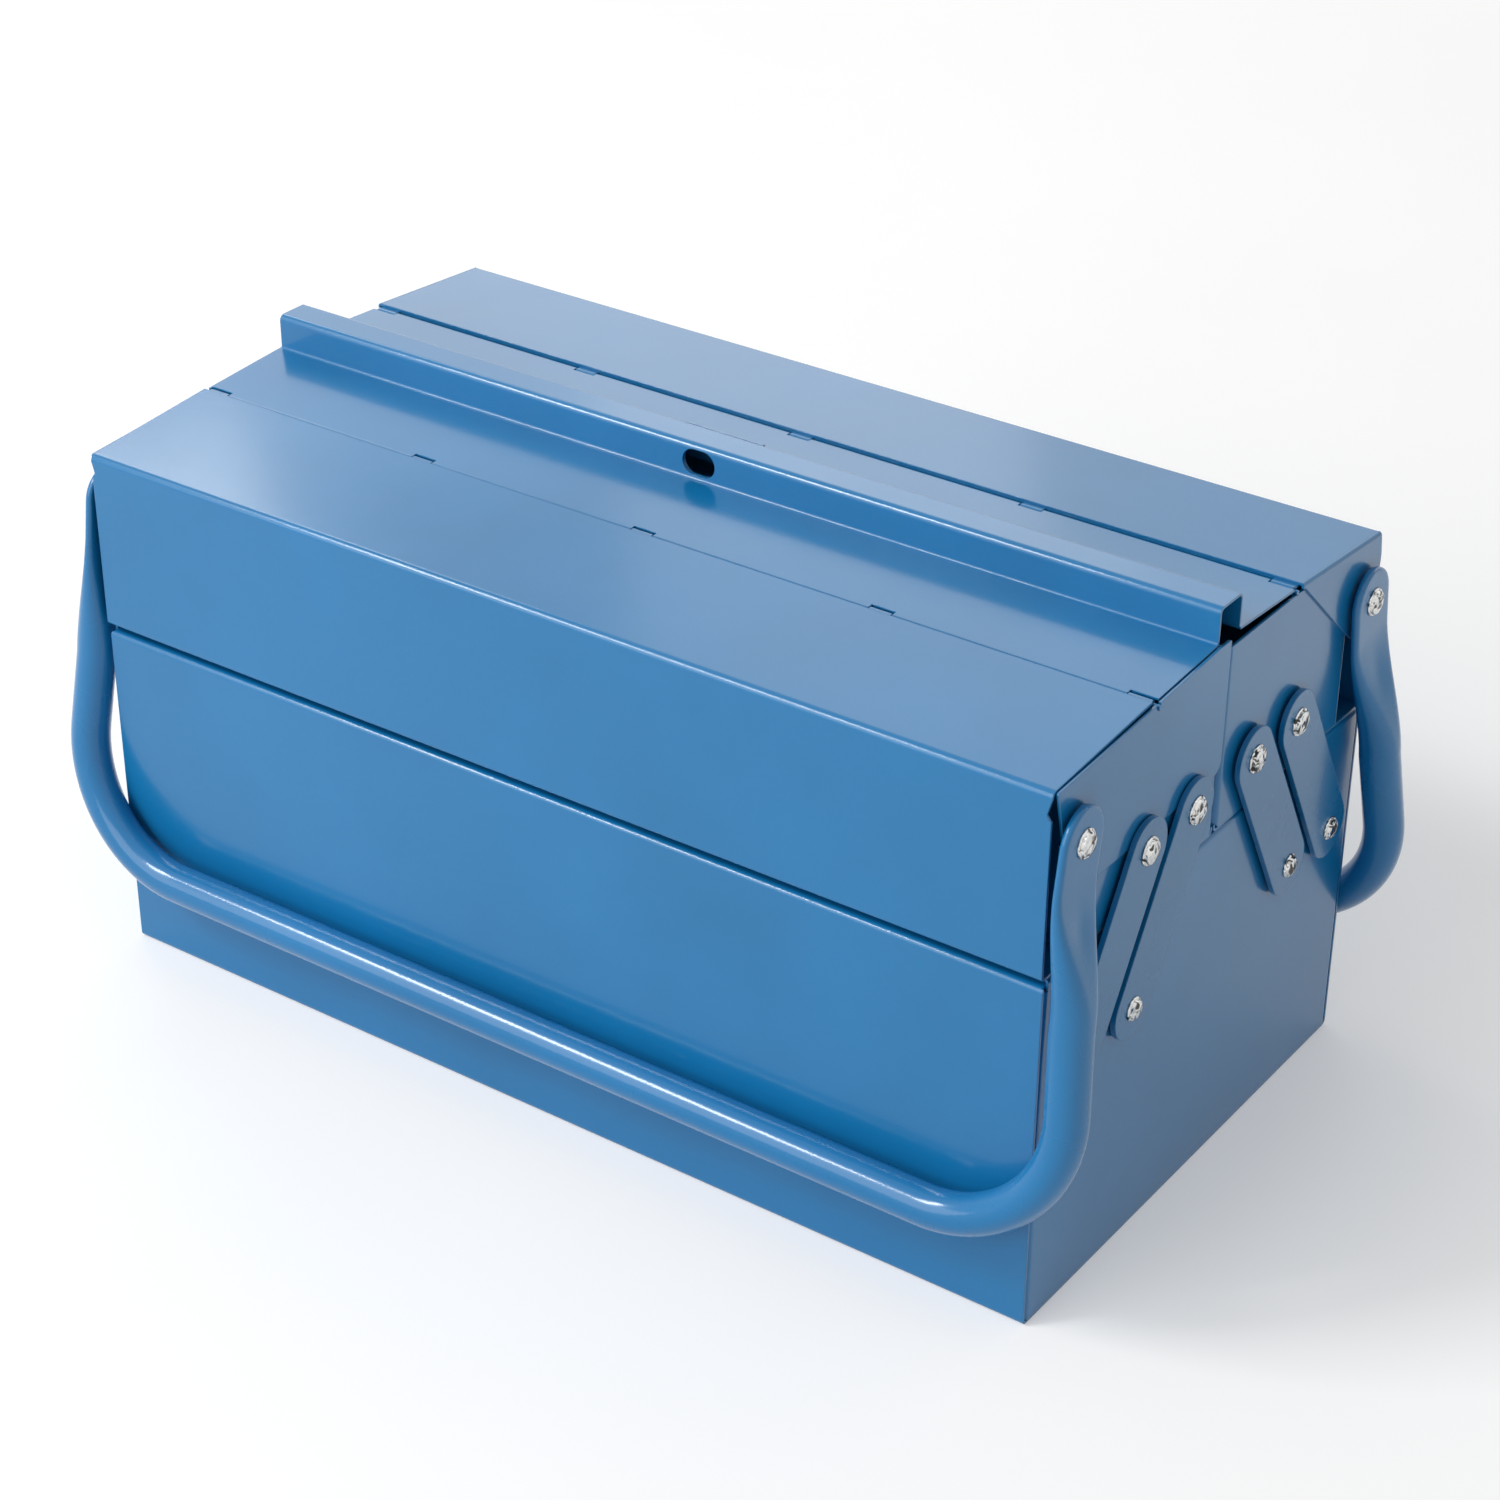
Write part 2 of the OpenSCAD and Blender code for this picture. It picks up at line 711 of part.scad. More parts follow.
// The round tube of one radius: two legs, two bends and the grip. The legs stop short at their tops,
// and the straight lengths run a little way into the bends, which are drawn finer by a hair
module handle_tube(r, short) {
    grip_half = leg_corner - bend_run;
    lap = 0.3;
    draw = 0.02;
    translate([-grip_half - lap, 0, -handle_drop]) rotate([0, 90, 0])
        cylinder(r = r, h = 2 * (grip_half + lap));
    both_ends() {
        translate([grip_half, 0, handle_bend_r - handle_drop]) rotate([90, 0, 0]) rotate([0, 0, -90])
            rotate_extrude(angle = bend_angle) translate([handle_bend_r, 0]) circle(r = r - draw);
        translate([round_x, 0, -round_start]) rotate([0, -handle_splay, 0])
            translate([0, 0, -leg_length - lap]) cylinder(r = r, h = leg_length + lap - short);
    }
}

// The flattened end: a round-ended lug on the rivet that swells into the round tube
module flattened_end() {
    lug_r = lug_width / 2;
    lug_foot = lug_r + 1;
    middle = (lug_foot + round_start) / 2;
    lug_x = (lug_back + lug_face) / 2;
    middle_x = (lug_x + round_x) / 2;
    middle_thick = 1.25 * tube_r;
    middle_wide = 2.7 * tube_r;
    inset = 0.04;
    along_x(lug_back, lug_face) {
        circle(r = lug_r);
        translate([-lug_r, -lug_foot]) square([lug_width, lug_foot]);
    }
    hull() {
        flat_slice(lug_x, lug_foot, lug_sheet - inset, lug_width - inset);
        flat_slice(middle_x, middle, middle_thick, middle_wide);
    }
    hull() {
        flat_slice(middle_x, middle, middle_thick, middle_wide);
        translate([round_x, 0, -round_start]) rotate([0, -handle_splay, 0])
            translate([0, 0, -1]) cylinder(r = tube_r - inset, h = 1, $fn = 32);
    }
}

// A thin slice of the swelling part, flat on two sides and round at its edges, at one depth
module flat_slice(x, depth, thick, wide) {
    for (side = [-1, 1])
        translate([x, side * (wide - thick) / 2, -depth]) cylinder(d = thick, h = 0.2, $fn = 32);
}

base_shell();
to_left() base_end();  // base_end_left
base_end();  // base_end_right
base_spacers();
base_rivets();
to_front() tray_shell();  // front_tray_shell
to_front() to_left() tray_end();  // front_tray_end_left
to_front() tray_end();  // front_tray_end_right
to_front() to_left() front_end_plate();  // front_end_plate_left
to_front() front_end_plate();  // front_end_plate_right
to_front() hinge_leaf();  // front_hinge_leaf
to_front() hinge_pin(plate_face + pin_stub);  // front_hinge_pin
to_front() tray_spacers();  // front_tray_spacers
to_front() tray_rivets();  // front_tray_rivets
to_front() handle_spacers();  // front_handle_spacers
to_front() handle_rivets();  // front_handle_rivets
tray_shell();  // rear_tray_shell
to_left() tray_end();  // rear_tray_end_left
tray_end();  // rear_tray_end_right
to_left() rear_gusset();  // rear_gusset_left
rear_gusset();  // rear_gusset_right
hinge_leaf();  // rear_hinge_leaf
hinge_pin(panel_face);  // rear_hinge_pin
tray_spacers();  // rear_tray_spacers
tray_rivets();  // rear_tray_rivets
handle_spacers();  // rear_handle_spacers
handle_rivets();  // rear_handle_rivets
front_lid();
padlock_plate();
rear_lid();
padlock_tab();
to_front() to_left() outer_arm();  // front_outer_arm_left
to_front() outer_arm();  // front_outer_arm_right
to_front() to_left() inner_arm();  // front_inner_arm_left
to_front() inner_arm();  // front_inner_arm_right
to_left() outer_arm();  // rear_outer_arm_left
outer_arm();  // rear_outer_arm_right
to_left() inner_arm();  // rear_inner_arm_left
inner_arm();  // rear_inner_arm_right
rotate([0, 0, 180]) handle();  // front_handle
handle();  // rear_handle
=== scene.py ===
"""Cantilever toolbox in blue enamel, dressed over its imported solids."""
import json
import math

import bmesh
import bpy
from mathutils import Matrix, Vector


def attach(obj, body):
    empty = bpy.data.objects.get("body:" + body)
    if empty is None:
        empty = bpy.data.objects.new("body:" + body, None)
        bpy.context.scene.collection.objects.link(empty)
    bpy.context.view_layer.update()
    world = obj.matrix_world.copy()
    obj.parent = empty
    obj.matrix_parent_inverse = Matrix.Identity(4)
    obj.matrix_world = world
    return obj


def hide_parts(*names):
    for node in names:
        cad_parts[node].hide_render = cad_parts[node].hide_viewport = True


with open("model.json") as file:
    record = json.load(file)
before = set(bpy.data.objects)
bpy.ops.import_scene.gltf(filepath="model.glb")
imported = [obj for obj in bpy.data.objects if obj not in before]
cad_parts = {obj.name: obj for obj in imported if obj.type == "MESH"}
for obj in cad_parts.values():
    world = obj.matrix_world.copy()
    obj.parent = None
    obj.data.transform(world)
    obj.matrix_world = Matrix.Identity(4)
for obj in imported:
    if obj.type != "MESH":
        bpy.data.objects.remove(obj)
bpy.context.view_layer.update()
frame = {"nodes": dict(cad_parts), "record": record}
NODES = frame["nodes"]
RECORD = frame["record"]
MM = 0.001

# Sizes of the handle, as in the solids, in millimetres
LUG_BACK = 204.5
LUG_SHEET = 3.0
LUG_WIDTH = 24.5
LEG_START = 206.3
HANDLE_REACH = 98.0
HANDLE_HEIGHT = 186.0
HANDLE_DROP = 145.7
TRAY_HALF = 110.0
GRIP_GAP = 1.5
TUBE_R = 7.5
HANDLE_LEAN = math.asin((TRAY_HALF + GRIP_GAP + TUBE_R - HANDLE_REACH) / HANDLE_DROP)
HANDLE_SPLAY = math.radians(5.1)
BEND_R = 48.0
FLATTEN_LENGTH = 52.0
PIVOT_HOLE_R = 3.06

# The soft dent on the outside of each leg, its place and reach as shares of the flattened length and of
# the half width, its depth in millimetres
DENT_DEPTH = 0.5
DENT_MIDDLE = 0.7
DENT_REACH = 0.16
DENT_WIDTH = 0.42
# Share of the flattened length over which the tube reaches the lug's full width
WIDENING = 1.05

# Steps along the handle's stretches and points round its section
GRIP_STEPS = 40
BEND_STEPS = 28
LEG_STEPS = 12
FLATTEN_STEPS = 40
LUG_STEPS = 5
TIP_STEPS = 12
RING_POINTS = 56
CUTTER_POINTS = 48
# Share of the lug's quarter turn that is drawn, so that its tip isn't a point
TIP_SHARE = 0.985
# How far a rivet hole's cutter reaches past the lug, in millimetres
CUTTER_REACH = 4.0
# Angle between faces above which a handle's edge is hard, in degrees
HARD_EDGE = 38.0

WHITE = (1.0, 1.0, 1.0, 1.0)

# Cosine of the angle between the two normals where the paler edge colour, wear with a painted highlight, is
# full, and where it ends
EDGE_FULL = 0.82
EDGE_NONE = 0.995


# Node helpers
def new_material(name):
    """An empty node material with its output."""
    material = bpy.data.materials.new(name)
    material.use_nodes = True
    tree = material.node_tree
    tree.nodes.clear()
    output = tree.nodes.new("ShaderNodeOutputMaterial")
    return material, tree, output


def add(tree, kind, values=None, **settings):
    """One node with its settings and the values of its inputs."""
    node = tree.nodes.new("ShaderNode" + kind)
    for key, value in settings.items():
        setattr(node, key, value)
    for key, value in (values or {}).items():
        node.inputs[key].default_value = value
    return node


def noise(tree, vector, scale, detail, roughness=0.5, distortion=0.0):
    """A noise texture's value, its scale in patches to the metre."""
    node = add(tree, "TexNoise", {"Scale": scale, "Detail": detail, "Roughness": roughness,
                                  "Distortion": distortion})
    tree.links.new(vector, node.inputs["Vector"])
    return node.outputs["Fac"]


def remap(tree, value, low, high, to_low, to_high):
    """A value carried from one range to another and held inside it."""
    node = add(tree, "MapRange", {"From Min": low, "From Max": high,
                                  "To Min": to_low, "To Max": to_high})
    tree.links.new(value, node.inputs["Value"])
    return node.outputs["Result"]


def mix_colour(tree, factor, first, second):
    """Two colours mixed by a factor: each is a socket or a plain colour."""
    node = add(tree, "Mix", data_type="RGBA")
    tree.links.new(factor, node.inputs["Factor"])
    for key, colour in (("A", first), ("B", second)):
        socket = [s for s in node.inputs if s.name == key and s.type == "RGBA"][0]
        if isinstance(colour, tuple):
            socket.default_value = (*colour, 1.0)
        else:
            tree.links.new(colour, socket)
    return [s for s in node.outputs if s.type == "RGBA"][0]


def bump(tree, height, strength, distance, normal):
    """A bump on top of another normal, its distance in metres."""
    node = add(tree, "Bump", {"Strength": strength, "Distance": distance})
    tree.links.new(height, node.inputs["Height"])
    tree.links.new(normal, node.inputs["Normal"])
    return node.outputs["Normal"]


def edge_mask(tree, rounded):
    """One on the cut edges and folds, where a rounded normal turns away from the flat one."""
    geometry = add(tree, "NewGeometry")
    dot = add(tree, "VectorMath", operation="DOT_PRODUCT")
    tree.links.new(rounded, dot.inputs[0])
    tree.links.new(geometry.outputs["Normal"], dot.inputs[1])
    return remap(tree, dot.outputs["Value"], EDGE_FULL, EDGE_NONE, 1.0, 0.0)


def rounded_normal(tree, radius):
    """The surface's normal with its edges softened."""
    return add(tree, "Bevel", {"Radius": radius}, samples=4).outputs["Normal"]


# Stoved enamel: an even blue with a faint orange peel, paler along the cut edges and folds, where the paint
# is thinner and a highlight is painted in
# Each noise by its scale, detail and, where given, roughness and distortion, and each bump by its strength
# and distance
CLOUDS = (14.0, 3.0)
CLOUD_CONTRAST = 0.15
WEAR_AND_HIGHLIGHT_PATCHES = (260.0, 4.0, 0.6)
EDGE_WEAR_AND_HIGHLIGHT = (0.15, 0.75)
WAVES = (22.0, 0.0)
WAVES_BUMP = (0.05, 0.0002)
PEEL = (1100.0, 1.0)
PEEL_BUMP = (0.8, 0.00002)
DULL_PATCHES = (40.0, 3.0)
GLOSS_RANGE = (-0.06, 0.07)
ENAMEL_GLOSS = {"Coat Weight": 0.6, "Coat Roughness": 0.10, "Specular IOR Level": 0.24}


def enamel(name, colour, edge_colour, radius, gloss):
    """Blue enamel on sheet steel, its edges rounded by a radius in metres."""
    material, tree, output = new_material(name)
    place = add(tree, "TexCoord").outputs["Object"]
    rounded = rounded_normal(tree, radius)
    darker = tuple((1 - CLOUD_CONTRAST) * c for c in colour)
    lighter = tuple((1 + CLOUD_CONTRAST) * c for c in colour)
    body = mix_colour(tree, noise(tree, place, *CLOUDS), darker, lighter)
    # Paler colour on the cut edges and folds: partly thinner, worn paint, partly a painted highlight
    worn_and_highlit = edge_mask(tree, rounded)
    patchy = remap(tree, noise(tree, place, *WEAR_AND_HIGHLIGHT_PATCHES), 0.35, 0.65, *EDGE_WEAR_AND_HIGHLIGHT)
    wear_and_highlight = add(tree, "Math", operation="MULTIPLY")
    tree.links.new(worn_and_highlit, wear_and_highlight.inputs[0])
    tree.links.new(patchy, wear_and_highlight.inputs[1])
    painted = mix_colour(tree, wear_and_highlight.outputs[0], body, edge_colour)
    waves = bump(tree, noise(tree, place, *WAVES), *WAVES_BUMP, rounded)
    peel = bump(tree, noise(tree, place, *PEEL), *PEEL_BUMP, rounded)
    shader = add(tree, "BsdfPrincipled", ENAMEL_GLOSS)
    tree.links.new(painted, shader.inputs["Base Color"])
    dull_patches = noise(tree, place, *DULL_PATCHES)
    uneven = remap(tree, dull_patches, 0.0, 1.0, *(gloss + step for step in GLOSS_RANGE))
    tree.links.new(uneven, shader.inputs["Roughness"])
    tree.links.new(waves, shader.inputs["Normal"])
    tree.links.new(peel, shader.inputs["Coat Normal"])
    tree.links.new(shader.outputs[0], output.inputs["Surface"])
    return material


# Bright plated rivets: domed heads set with an uneven punch, darker in their hollows
PLATING_DULL = (0.60, 0.60, 0.59)
PLATING_BRIGHT = (0.84, 0.84, 0.82)
HOLLOW_DARK = (0.05, 0.05, 0.045)
DARK_BELOW = (0.39, 0.46)
HOLLOWS = (330.0, 1.5, 0.5, 0.8)
HOLLOWS_BUMP = (0.9, 0.0016)
SCRATCHES = (2400.0, 2.0)
SCRATCHES_BUMP = (0.10, 0.00005)
PLATING_EDGE = 0.0004


def plated(name):
    """Bright plating with small dents and fine scratches."""
    material, tree, output = new_material(name)
    place = add(tree, "TexCoord").outputs["Object"]
    rounded = rounded_normal(tree, PLATING_EDGE)
    hollows = noise(tree, place, *HOLLOWS)
    dents = bump(tree, hollows, *HOLLOWS_BUMP, rounded)
    fine = bump(tree, noise(tree, place, *SCRATCHES), *SCRATCHES_BUMP, dents)
    tone = remap(tree, noise(tree, place, 420.0, 3.0), 0.3, 0.7, 0.0, 1.0)
    bright = mix_colour(tree, tone, PLATING_DULL, PLATING_BRIGHT)
    # Near-black colour in the hollows of the dents
    dark_hollows = remap(tree, hollows, *DARK_BELOW, 1.0, 0.0)
    shader = add(tree, "BsdfPrincipled", {"Metallic": 1.0})
    tree.links.new(mix_colour(tree, dark_hollows, bright, HOLLOW_DARK), shader.inputs["Base Color"])
    polish = remap(tree, noise(tree, place, 900.0, 3.0), 0.3, 0.7, 0.10, 0.20)
    tree.links.new(polish, shader.inputs["Roughness"])
    tree.links.new(fine, shader.inputs["Normal"])
    tree.links.new(shader.outputs[0], output.inputs["Surface"])
    return material


# Turned rings in plain steel
STEEL_DARK = (0.36, 0.36, 0.37)
STEEL_PALE = (0.50, 0.50, 0.51)
STEEL_STRETCH = (40.0, 1500.0, 1500.0)
STEEL_BUMP = (0.25, 0.00003)
STEEL_EDGE = 0.0002


def plain_steel(name):
    """Grey steel with fine marks along its length."""
    material, tree, output = new_material(name)
    place = add(tree, "TexCoord").outputs["Object"]
    stretched = add(tree, "Mapping", {"Scale": STEEL_STRETCH})
    tree.links.new(place, stretched.inputs["Vector"])
    grain = noise(tree, stretched.outputs["Vector"], 1.0, 3.0)
    shader = add(tree, "BsdfPrincipled", {"Metallic": 1.0})
    tone = remap(tree, noise(tree, place, 90.0, 3.0), 0.3, 0.7, 0.0, 1.0)
    tree.links.new(mix_colour(tree, tone, STEEL_DARK, STEEL_PALE), shader.inputs["Base Color"])
    tree.links.new(remap(tree, grain, 0.3, 0.7, 0.28, 0.42), shader.inputs["Roughness"])
    marks = bump(tree, grain, *STEEL_BUMP, rounded_normal(tree, STEEL_EDGE))
    tree.links.new(marks, shader.inputs["Normal"])
    tree.links.new(shader.outputs[0], output.inputs["Surface"])
    return material


BLUE = (0.007, 0.172, 0.405)
PALE_BLUE = (0.060, 0.260, 0.530)
ARM_BLUE = (0.007, 0.162, 0.378)
PALE_ARM_BLUE = (0.060, 0.250, 0.500)
HANDLE_BLUE = (0.006, 0.172, 0.410)
PALE_HANDLE_BLUE = (0.060, 0.270, 0.540)
MATERIALS = {
    "body_paint": enamel("enamel_body", BLUE, PALE_BLUE, 0.0005, 0.23),
    "lid_paint": enamel("enamel_lids", BLUE, PALE_BLUE, 0.0004, 0.23),
    "arm_paint": enamel("enamel_arms", ARM_BLUE, PALE_ARM_BLUE, 0.0006, 0.26),
    "handle_paint": enamel("enamel_handles", HANDLE_BLUE, PALE_HANDLE_BLUE, 0.0004, 0.26),
    "rivet_plating": plated("plated_rivets"),
    "plain_steel": plain_steel("plain_steel"),
}
SLOT_OF = {part["node"]: part["material_slot"] for part in RECORD["subparts"]}
for node_name, node_object in NODES.items():
    finish = MATERIALS[SLOT_OF[node_name]]
    for holder in node_object.material_slots:
        holder.material = finish


# The handles
def ring(half_thick, half_wide):
    """Even points round a flat-sided section: thickness along the first axis, width along the second."""
    flat = max(half_wide - half_thick, 0.0)
    thick = min(half_thick, half_wide)
    around = 2 * math.pi * thick + 4 * flat
    points = []
    for i in range(RING_POINTS):
        run = (i + 0.5) / RING_POINTS * around
        quarter = math.pi * thick / 2
        if run < flat:
            points.append((thick, run))
        elif run < flat + 2 * quarter:
            turn = (run - flat) / thick
            points.append((thick * math.cos(turn), flat + thick * math.sin(turn)))
        elif run < 3 * flat + 2 * quarter:
            points.append((-thick, 2 * flat + 2 * quarter - run))
        elif run < 3 * flat + 4 * quarter:
            turn = (run - 3 * flat - 2 * quarter) / thick
            points.append((-thick * math.cos(turn), -flat - thick * math.sin(turn)))
        else:
            points.append((thick, run - around))
    return points


def smooth(t):
    """An even start and stop between nought and one."""
    t = min(max(t, 0.0), 1.0)
    return t * t * (3 - 2 * t)


def handle_stations():
    """Half of the handle from its middle to the tip of one lug, in order: place, direction, half thickness,
    half width and the depth of the dent on the outside."""
    lug_r = LUG_WIDTH / 2
    flat = LUG_SHEET / 2
    lug_x = LUG_BACK + flat
    round_start = lug_r + FLATTEN_LENGTH
    corner = LEG_START + HANDLE_DROP * math.tan(HANDLE_SPLAY)
    bend = math.pi / 2 + HANDLE_SPLAY
    grip_half = corner - BEND_R * math.tan(bend / 2)
    stations = []
    for i in range(GRIP_STEPS + 1):
        stations.append((grip_half * i / GRIP_STEPS, -HANDLE_DROP, 0.0, TUBE_R, TUBE_R, 0.0))
    for i in range(1, BEND_STEPS + 1):
        a = bend * i / BEND_STEPS
        stations.append((grip_half + BEND_R * math.sin(a), BEND_R * (1 - math.cos(a)) - HANDLE_DROP, a,
                         TUBE_R, TUBE_R, 0.0))
    start = Vector((stations[-1][0], stations[-1][1]))
    end = Vector((LEG_START + round_start * math.tan(HANDLE_SPLAY), -round_start))
    for i in range(1, LEG_STEPS + 1):
        spot = start.lerp(end, i / LEG_STEPS)
        stations.append((spot.x, spot.y, bend, TUBE_R, TUBE_R, 0.0))
    for i in range(1, FLATTEN_STEPS + 1):
        t = i / FLATTEN_STEPS
        w = smooth(t)
        lean = bend + (math.pi / 2 - bend) * w
        x = end.x + (lug_x - end.x) * w
        thick = TUBE_R + (flat - TUBE_R) * w
        wide = TUBE_R + (lug_r - TUBE_R) * smooth(WIDENING * t)
        dent = DENT_DEPTH * math.exp(-((t - DENT_MIDDLE) / DENT_REACH) ** 2)
        stations.append((x, end.y + (FLATTEN_LENGTH - 1) * t, lean, thick, wide, dent))
    for i in range(1, LUG_STEPS + 1):
        stations.append((lug_x, -lug_r - 1 + (lug_r + 1) * i / LUG_STEPS, math.pi / 2, flat, lug_r, 0.0))
    for i in range(1, TIP_STEPS + 1):
        a = math.pi / 2 * i / TIP_STEPS * TIP_SHARE
        stations.append((lug_x, lug_r * math.sin(a), math.pi / 2, flat, lug_r * math.cos(a), 0.0))
    return stations


def handle_mesh(name):
    """One handle as a single drawn tube, in its own plane under its pivots, its ends pressed flat."""
    half = handle_stations()
    whole = [(-x, z, -a, t, w, d) for x, z, a, t, w, d in reversed(half[1:])] + half
    shape = bmesh.new()
    rows = []
    for x, z, a, thick, wide, dent in whole:
        outward = Vector((math.sin(a), 0.0, -math.cos(a)))
        row = []
        for out, side in ring(thick, wide):
            if out > 0:
                out -= dent * (out / thick) * math.exp(-(side / (DENT_WIDTH * wide)) ** 2)
            point = Vector((x, side, z)) + outward * out
            row.append(shape.verts.new(point * MM))
        rows.append(row)
    for first, second in zip(rows, rows[1:]):
        for i in range(RING_POINTS):
            j = (i + 1) % RING_POINTS
            shape.faces.new((first[i], first[j], second[j], second[i]))
    shape.faces.new(rows[0][::-1])
    shape.faces.new(rows[-1])
    bmesh.ops.recalc_face_normals(shape, faces=shape.faces)
    mesh = bpy.data.meshes.new(name)
    shape.to_mesh(mesh)
    shape.free()
    return mesh


def cylinder_mesh(name, radius, x_from, x_to):
    """A plain cutter along the box."""
    shape = bmesh.new()
    turned = Matrix.Translation(((x_from + x_to) / 2 * MM, 0, 0)) @ Matrix.Rotation(math.pi / 2, 4, "Y")
    bmesh.ops.create_cone(shape, cap_ends=True, segments=CUTTER_POINTS, radius1=radius * MM,
                          radius2=radius * MM, depth=(x_to - x_from) * MM, matrix=turned)
    mesh = bpy.data.meshes.new(name)
    shape.to_mesh(mesh)
    shape.free()
    return mesh


def link(name, mesh):
    """A new object of a mesh."""
    made = bpy.data.objects.new(name, mesh)
    bpy.context.scene.collection.objects.link(made)
    return made


def applied(source, name):
    """The object's mesh with its modifiers applied, as a new mesh."""
    bpy.context.view_layer.update()
    graph = bpy.context.evaluated_depsgraph_get()
    mesh = bpy.data.meshes.new_from_object(source.evaluated_get(graph), depsgraph=graph)
    mesh.name = name
    return mesh


def shade(made):
    """Smooth faces with hard edges between."""
    for face in made.data.polygons:
        face.use_smooth = True
    made.data.set_sharp_from_angle(angle=math.radians(HARD_EDGE))


def make_handle():
    """The handle's mesh with its two rivet holes."""
    solid = link("handle_solid", handle_mesh("handle_solid"))
    cutters = []
    for side in (-1, 1):
        ends = sorted((side * (LUG_BACK - CUTTER_REACH), side * (LUG_BACK + LUG_SHEET + CUTTER_REACH)))
        cutter = link("cutter", cylinder_mesh("cutter", PIVOT_HOLE_R, *ends))
        cutters.append(cutter)
        cut = solid.modifiers.new("hole", "BOOLEAN")
        cut.object = cutter
        cut.operation = "DIFFERENCE"
        cut.solver = "EXACT"
    mesh = applied(solid, "handle")
    for spent in (solid, *cutters):
        bpy.data.objects.remove(spent)
    return mesh


handle = make_handle()
for side_name, spin in (("rear", 0.0), ("front", math.pi)):
    piece = link(side_name + "_handle_tube", handle.copy())
    place = (Matrix.Rotation(spin, 4, "Z") @ Matrix.Translation((0, HANDLE_REACH * MM, HANDLE_HEIGHT * MM))
             @ Matrix.Rotation(HANDLE_LEAN, 4, "X"))
    piece.data.transform(place)
    piece.data.materials.clear()
    piece.data.materials.append(MATERIALS["handle_paint"])
    shade(piece)
    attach(piece, side_name + "_handle")
    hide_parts(side_name + "_handle")


# The floor: pale, with a little light of its own where it is seen
FLOOR_DARK = (0.80, 0.80, 0.80)
FLOOR_PALE = (0.82, 0.82, 0.815)
FLOOR_GLOW = 0.25
FLOOR_HALF = 6.0


def floor_material():
    """A pale ground that keeps shadows and shows near white to the camera."""
    material, tree, output = new_material("pale_floor")
    place = add(tree, "TexCoord").outputs["Object"]
    diffuse = add(tree, "BsdfDiffuse", {"Roughness": 0.4})
    tone = remap(tree, noise(tree, place, 3.0, 3.0), 0.3, 0.7, 0.0, 1.0)
    tree.links.new(mix_colour(tree, tone, FLOOR_DARK, FLOOR_PALE), diffuse.inputs["Color"])
    glow = add(tree, "Emission", {"Color": WHITE, "Strength": FLOOR_GLOW})
    total = add(tree, "AddShader")
    tree.links.new(diffuse.outputs[0], total.inputs[0])
    tree.links.new(glow.outputs[0], total.inputs[1])
    choice = add(tree, "MixShader")
    tree.links.new(seen_directly(tree), choice.inputs[0])
    tree.links.new(diffuse.outputs[0], choice.inputs[1])
    tree.links.new(total.outputs[0], choice.inputs[2])
    tree.links.new(choice.outputs[0], output.inputs["Surface"])
    return material


def seen_directly(tree):
    """One for rays from the camera, off glossy surfaces and through clear ones."""
    path = add(tree, "LightPath")
    total = path.outputs["Is Camera Ray"]
    for name in ("Is Glossy Ray", "Is Transmission Ray"):
        step = add(tree, "Math", operation="MAXIMUM")
        tree.links.new(total, step.inputs[0])
        tree.links.new(path.outputs[name], step.inputs[1])
        total = step.outputs[0]
    return total


floor_shape = bmesh.new()
bmesh.ops.create_grid(floor_shape, x_segments=2, y_segments=2, size=FLOOR_HALF)
floor_mesh = bpy.data.meshes.new("floor")
floor_shape.to_mesh(floor_mesh)
floor_shape.free()
floor = link("floor", floor_mesh)
floor.data.materials.append(floor_material())


# Lights
def softbox(name, spot, aim_height, size, power):
    """A soft rectangular white lamp pointed at a height over the origin."""
    lamp = bpy.data.lights.new(name, "AREA")
    lamp.shape = "RECTANGLE"
    lamp.size, lamp.size_y = size
    lamp.energy = power
    made = bpy.data.objects.new(name, lamp)
    made.location = spot
    aim = Vector((0.0, 0.0, aim_height)) - Vector(spot)
    made.rotation_euler = aim.to_track_quat("-Z", "Y").to_euler()
    bpy.context.scene.collection.objects.link(made)


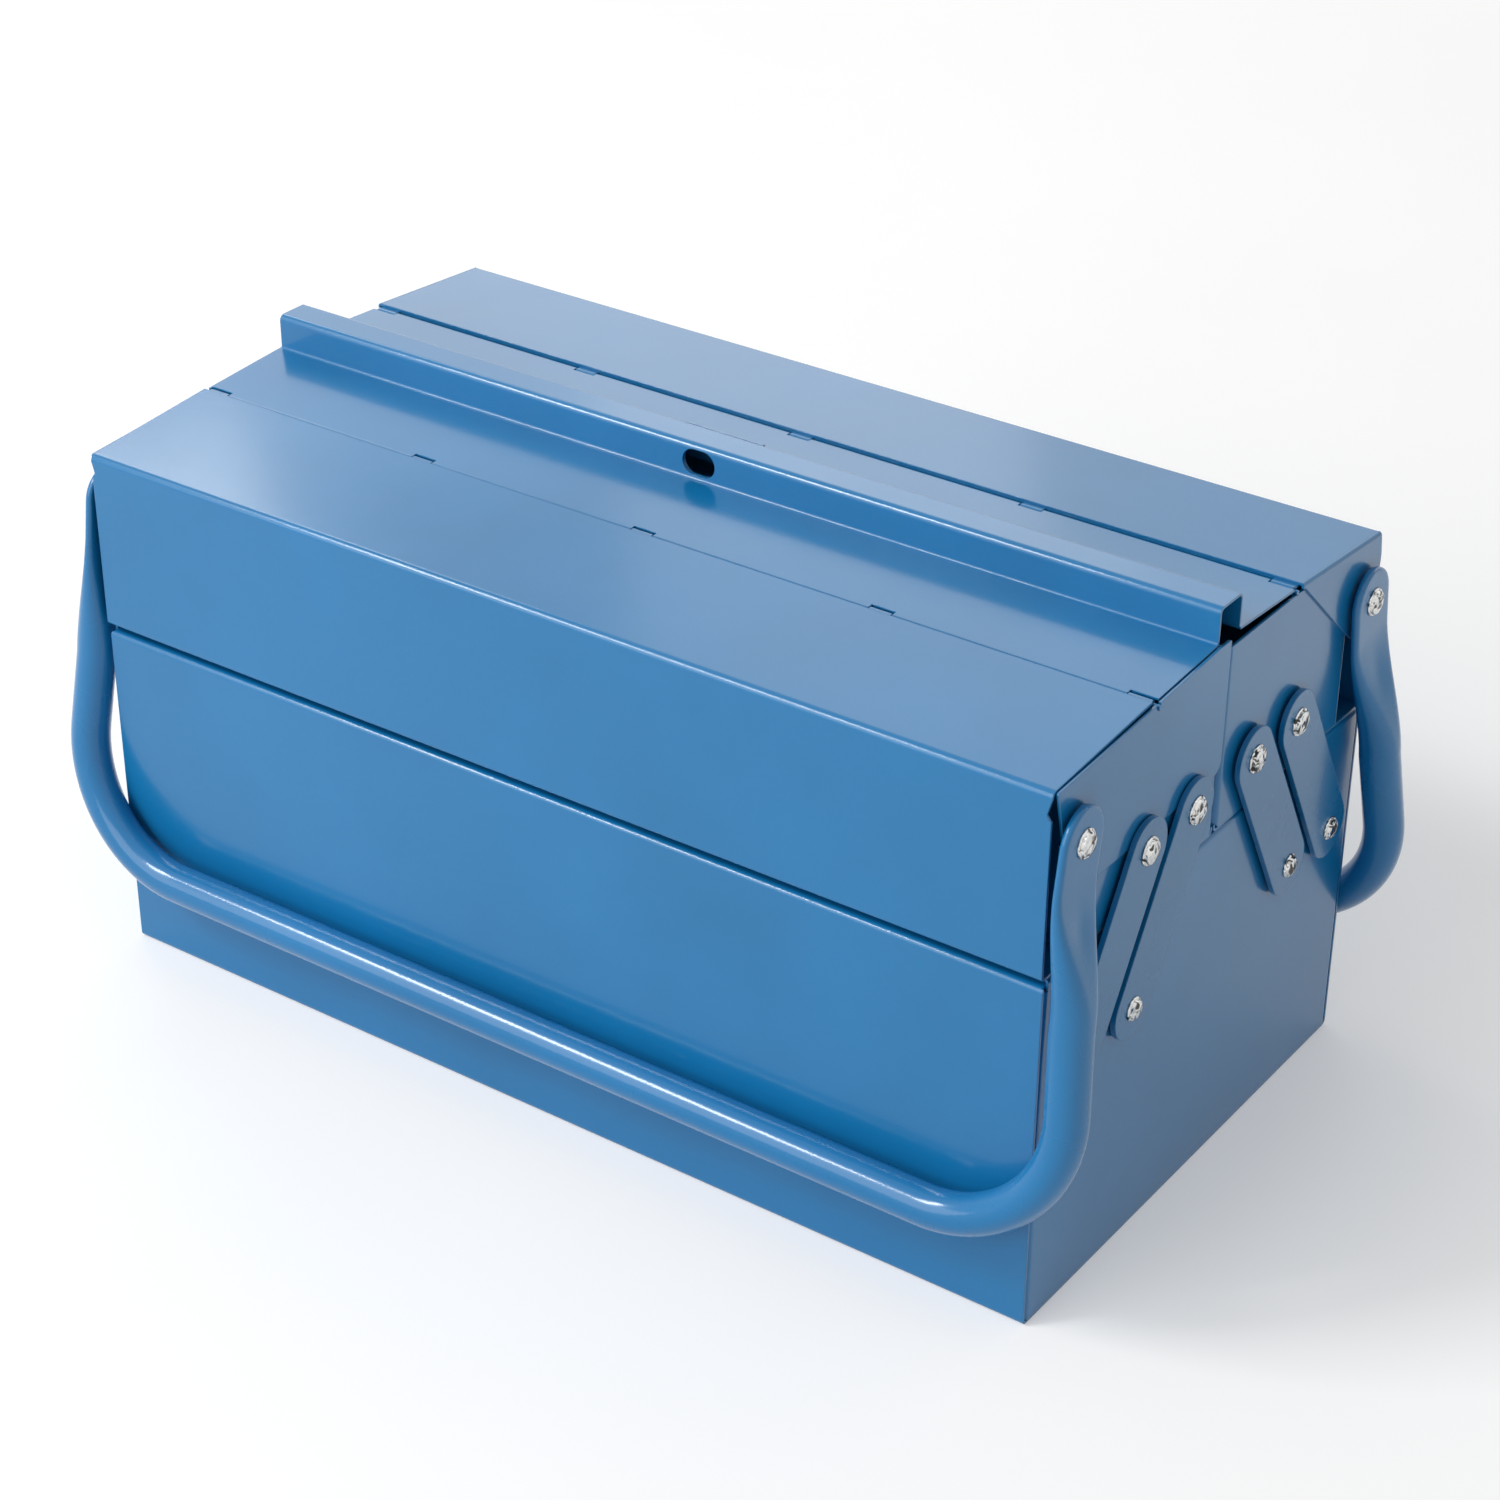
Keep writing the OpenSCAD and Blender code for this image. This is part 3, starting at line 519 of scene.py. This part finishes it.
softbox("front_panel", (-0.9, -2.4, 1.3), 0.1, (2.4, 1.8), 31.0)
softbox("kicker", (-1.18, -1.24, 1.68), 0.1, (0.8, 0.35), 22.0)
softbox("rear_panel", (-2.12, 1.8, 1.2), 0.15, (2.4, 1.2), 5.5)
softbox("rear_side_panel", (-0.8, 2.35, 1.85), 0.15, (2.0, 1.2), 7.0)
softbox("high_panel", (-2.25, 1.3, 2.15), 0.15, (0.9, 0.8), 8.0)

# Strength of the even light from all round
FILL_STRENGTH = 0.46
world = bpy.data.worlds.new("studio")
bpy.context.scene.world = world
world.use_nodes = True
sky = world.node_tree
sky.nodes.clear()
sky_output = sky.nodes.new("ShaderNodeOutputWorld")
fill = add(sky, "Background", {"Color": WHITE, "Strength": FILL_STRENGTH})
white = add(sky, "Background", {"Color": WHITE, "Strength": 1.0})
sky_choice = add(sky, "MixShader")
sky.links.new(seen_directly(sky), sky_choice.inputs[0])
sky.links.new(fill.outputs[0], sky_choice.inputs[1])
sky.links.new(white.outputs[0], sky_choice.inputs[2])
sky.links.new(sky_choice.outputs[0], sky_output.inputs["Surface"])


# Camera at the photograph's viewing angle
CAMERA_PLACE = (0.636, -0.883, 0.737)
CAMERA_AZIMUTH = math.radians(35.16)
CAMERA_ELEVATION = math.radians(31.08)
CAMERA_ROLL = math.radians(-0.39)


def camera_axes(azimuth, elevation, roll):
    """The camera's right, down and forward directions."""
    forward = Vector((-math.sin(azimuth) * math.cos(elevation),
                      math.cos(azimuth) * math.cos(elevation), -math.sin(elevation)))
    level = forward.cross(Vector((0, 0, 1))).normalized()
    below = forward.cross(level)
    right = math.cos(roll) * level + math.sin(roll) * below
    down = -math.sin(roll) * level + math.cos(roll) * below
    return right, down, forward


lens = bpy.data.cameras.new("photo_view")
lens.sensor_fit = "HORIZONTAL"
lens.sensor_width = 36.0
lens.lens = 81.86
lens.shift_x = -0.0027
lens.shift_y = 0.032
lens.clip_end = 50.0
camera = bpy.data.objects.new("photo_view", lens)
right_axis, down_axis, forward_axis = camera_axes(CAMERA_AZIMUTH, CAMERA_ELEVATION, CAMERA_ROLL)
turned = Matrix((right_axis, -down_axis, -forward_axis)).transposed().to_4x4()
camera.matrix_world = Matrix.Translation(CAMERA_PLACE) @ turned
bpy.context.scene.collection.objects.link(camera)
bpy.context.scene.camera = camera
bpy.context.scene.view_settings.view_transform = "Standard"
